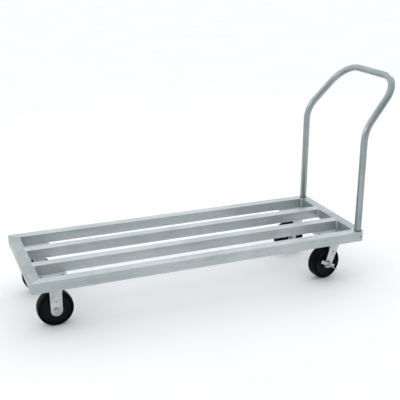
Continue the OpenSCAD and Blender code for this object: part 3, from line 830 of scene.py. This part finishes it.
def plate_fasteners():
    """Sixteen low domed bolts down through the corner and caster plates, with nuts and threads below."""
    bolts, nuts = Soup(), Soup()
    radius, cap_r, cap, nut_height = 0.00476, 0.008, 0.003, 0.0083
    seat = CASTER_TOP - PLATE_T
    edge = 0.0008
    dome = [(cap_r - 0.0003, 0.0), (cap_r, 0.0003), (cap_r, edge)]
    turns = [math.pi / 2 * i / 10 for i in range(1, 10)]
    dome += [(cap_r * math.cos(a), edge + (cap - edge) * math.sin(a)) for a in turns]
    dome += [(0, cap)]
    for x in (RIGID_X, SWIVEL_X):
        for side in (NEAR, FAR):
            for u in (-0.5, 0.5):
                for v in (-0.5, 0.5):
                    at = Matrix.Translation((x + u * BOLT_PITCH[0], SIDE[side] * CASTER_Y + v * BOLT_PITCH[1], 0))
                    bolts.add(lathe([(0, 0)] + dome, 40), at @ Matrix.Translation((0, 0, RAIL_LOW_Z)))
                    bolts.add(lathe([(0, seat - 0.001), (radius, seat - 0.001), (radius, RAIL_LOW_Z + 0.0002),
                                     (0, RAIL_LOW_Z + 0.0002)], 32), at)
                    down = Matrix.Translation((0, 0, seat)) @ Matrix.Rotation(math.pi, 4, "X")
                    bolts.add(thread(radius, 0.001, nut_height + 0.003, 0.0015, 0.0006, 28), at @ down)
                    nuts.add(hexagon(BOLT_FLATS, nut_height, bore=radius + 0.0001, both=True),
                             at @ Matrix.Translation((0, 0, seat - nut_height)))
    bolts.piece("plate_bolts_turned", FASTENER, "deck", "zinc_fastener", ["plate_bolts"])
    nuts.piece("plate_nuts_turned", FASTENER, "deck", "zinc_fastener", ["plate_nuts"])


def pedal_ribs(side):
    """Four pressed grip ribs across each pedal of the brake lever."""
    soup = Soup()
    place = caster_frame("rear", side)
    u, v = place.col[0].to_3d(), place.col[2].to_3d()
    centre = place.col[3].to_3d()
    tilt = Matrix.Rotation(LEVER_TILT, 3, v if side == FAR else -v)
    along = (tilt @ u).normalized()
    up = along.cross(v).normalized()
    if up.z < 0:
        up = -up
    basis = (along, v, up)
    for start, count, reach, height in ((-0.052, 4, 0.024, 0.008), (0.012, 4, 0.034, -0.005)):
        for i in range(count):
            a = start + 0.004 + i * 0.0047
            first = 0.0448 + 0.0015 if start < 0 else 0.0580
            last = 0.0418 + reach - 0.0022
            ends = [centre + basis[0] * a + basis[1] * b + basis[2] * height for b in (first, last)]
            soup.add(rib(ends[0], ends[1], basis[0], up))
    soup.piece(f"brake_pedal_ribs_{side}", CASTER_ZINC, f"brake_{side}", "caster_zinc", sharp=60)


def rib(a, b, across, up, width=0.0011, height=0.0008, steps=10):
    """A low rounded rib from a to b with tapered ends."""
    points, count = [], 14
    for k in range(count + 1):
        t = k / count
        size = math.sqrt(max(0.02, 1 - (2 * t - 1) ** 6))
        for i in range(steps):
            angle = 2 * math.pi * i / steps
            points.append(a.lerp(b, t) + across * (math.cos(angle) * width * size) + up * (math.sin(angle) * height * size))
    faces = [[k * steps + i, k * steps + (i + 1) % steps, (k + 1) * steps + (i + 1) % steps, (k + 1) * steps + i]
             for k in range(count) for i in range(steps)]
    faces += [list(range(steps))[::-1], [count * steps + i for i in range(steps)]]
    return points, faces


def casters():
    for side in (NEAR, FAR):
        for end in ("front", "rear"):
            wheel(end, side)
        refine("rigid_plate_" + side, CASTER_ZINC, 0.0008)
        refine("rigid_fork_" + side, CASTER_ZINC, 0.0007)
        refine("swivel_plate_" + side, CASTER_ZINC, 0.0008)
        refine("swivel_fork_" + side, CASTER_ZINC, 0.0008)
        refine("kingpin_" + side, FASTENER, 0.0005)
        refine("kingpin_nut_" + side, FASTENER, 0.0005)
        refine("brake_lever_" + side, CASTER_ZINC, 0.0009)
        refine("brake_cam_" + side, CAM, 0.0008)
        refine("brake_washer_" + side, FASTENER, 0.0004)
        pedal_ribs(side)


# ---------------------------------------------------------------- what stays as the CAD part

def paint_the_rest():
    """CAD parts that stay as they are get a finish chosen by words in their name."""
    finish = {"bearing": STEEL, "sleeve": FASTENER, "balls": STEEL, "screws": SCREW}
    for name, node in frame["nodes"].items():
        if node.hide_render:
            continue
        material = next((m for key, m in finish.items() if key in name), FASTENER)
        for slot in node.material_slots:
            slot.material = material


# ---------------------------------------------------------------- stage

def floor():
    mesh = bpy.data.meshes.new("floor")
    reach = 60.0
    mesh.from_pydata([(-reach, -reach, -0.0004), (reach, -reach, -0.0004), (reach, reach, -0.0004), (-reach, reach, -0.0004)],
                     [], [(0, 1, 2, 3)])
    obj = bpy.data.objects.new("floor", mesh)
    mesh.materials.append(floor_paper())
    bpy.context.scene.collection.objects.link(obj)


def world():
    """A soft studio dome: brighter behind and over the object than in front of it."""
    made = bpy.data.worlds.new("studio")
    bpy.context.scene.world = made
    made.use_nodes = True
    tree = made.node_tree
    where = tree.nodes.new("ShaderNodeTexCoord")
    split = tree.nodes.new("ShaderNodeSeparateXYZ")
    tree.links.new(where.outputs["Generated"], split.inputs[0])
    ramps = []
    for axis, low, stops in (
        ("Z", 0.0, ((0.0, (0.80, 0.83, 0.84)), (0.35, (0.95, 0.97, 0.98)), (1.0, (1.0, 1.0, 1.0)))),
        ("Y", -1.0, ((0.0, (0.42, 0.44, 0.45)), (0.45, (0.80, 0.82, 0.83)), (0.75, (1.0, 1.0, 1.0)))),
    ):
        spread = tree.nodes.new("ShaderNodeMapRange")
        spread.inputs["From Min"].default_value = low
        ramp = tree.nodes.new("ShaderNodeValToRGB")
        while len(ramp.color_ramp.elements) < len(stops):
            ramp.color_ramp.elements.new(0.5)
        for element, (at, color) in zip(ramp.color_ramp.elements, stops):
            element.position, element.color = at, (*color, 1)
        tree.links.new(split.outputs[axis], spread.inputs["Value"])
        tree.links.new(spread.outputs["Result"], ramp.inputs["Fac"])
        ramps.append(ramp.outputs["Color"])
    product = tree.nodes.new("ShaderNodeMix")
    product.data_type, product.blend_type = "RGBA", "MULTIPLY"
    product.inputs[0].default_value = 1.0
    tree.links.new(ramps[0], product.inputs[6])
    tree.links.new(ramps[1], product.inputs[7])
    background = tree.nodes["Background"]
    background.inputs["Strength"].default_value = DOME
    tree.links.new(product.outputs[2], background.inputs["Color"])


def soft_box(name, at, aim, size, power):
    light = bpy.data.lights.new(name, "AREA")
    light.shape, light.size, light.size_y = "RECTANGLE", size[0], size[1]
    light.energy = power
    obj = bpy.data.objects.new(name, light)
    obj.location = at
    obj.rotation_mode = "QUATERNION"
    obj.rotation_quaternion = (Vector(aim) - Vector(at)).to_track_quat("-Z", "Y")
    bpy.context.scene.collection.objects.link(obj)


def studio():
    floor()
    world()
    soft_box("key_left", (-3.4, -0.6, 2.9), (0, 0, 0.4), (1.6, 1.2), 12)
    soft_box("rim_right", (2.9, 1.8, 2.4), (0, 0, 0.5), (0.7, 2.0), 10)


def camera():
    """The photograph's viewpoint: it looks down along the deck from the front left."""
    yaw, pitch, roll = math.radians(22.12), math.radians(19.15), math.radians(0.13)
    ahead = Vector((math.sin(yaw) * math.cos(pitch), math.cos(yaw) * math.cos(pitch), -math.sin(pitch)))
    right = Vector((math.cos(yaw), -math.sin(yaw), 0))
    up = right.cross(ahead)
    x_axis = right * math.cos(roll) + up * math.sin(roll)
    y_axis = up * math.cos(roll) - right * math.sin(roll)
    data = bpy.data.cameras.new("camera")
    data.sensor_width, data.lens = 36.0, 69.24
    data.clip_start, data.clip_end = 0.1, 200.0
    obj = bpy.data.objects.new("camera", data)
    obj.matrix_world = Matrix((
        (x_axis.x, y_axis.x, -ahead.x, FRONT_X + EYE[0]), (x_axis.y, y_axis.y, -ahead.y, EYE[1]),
        (x_axis.z, y_axis.z, -ahead.z, RAIL_TOP_Z + EYE[2]), (0, 0, 0, 1)))
    bpy.context.scene.collection.objects.link(obj)
    bpy.context.scene.camera = obj


def build():
    rails()
    deck_welds()
    plate_welds()
    handle()
    casters()
    axles()
    plate_fasteners()
    paint_the_rest()
    studio()
    camera()
    bpy.context.scene.view_settings.view_transform = "Standard"


build()
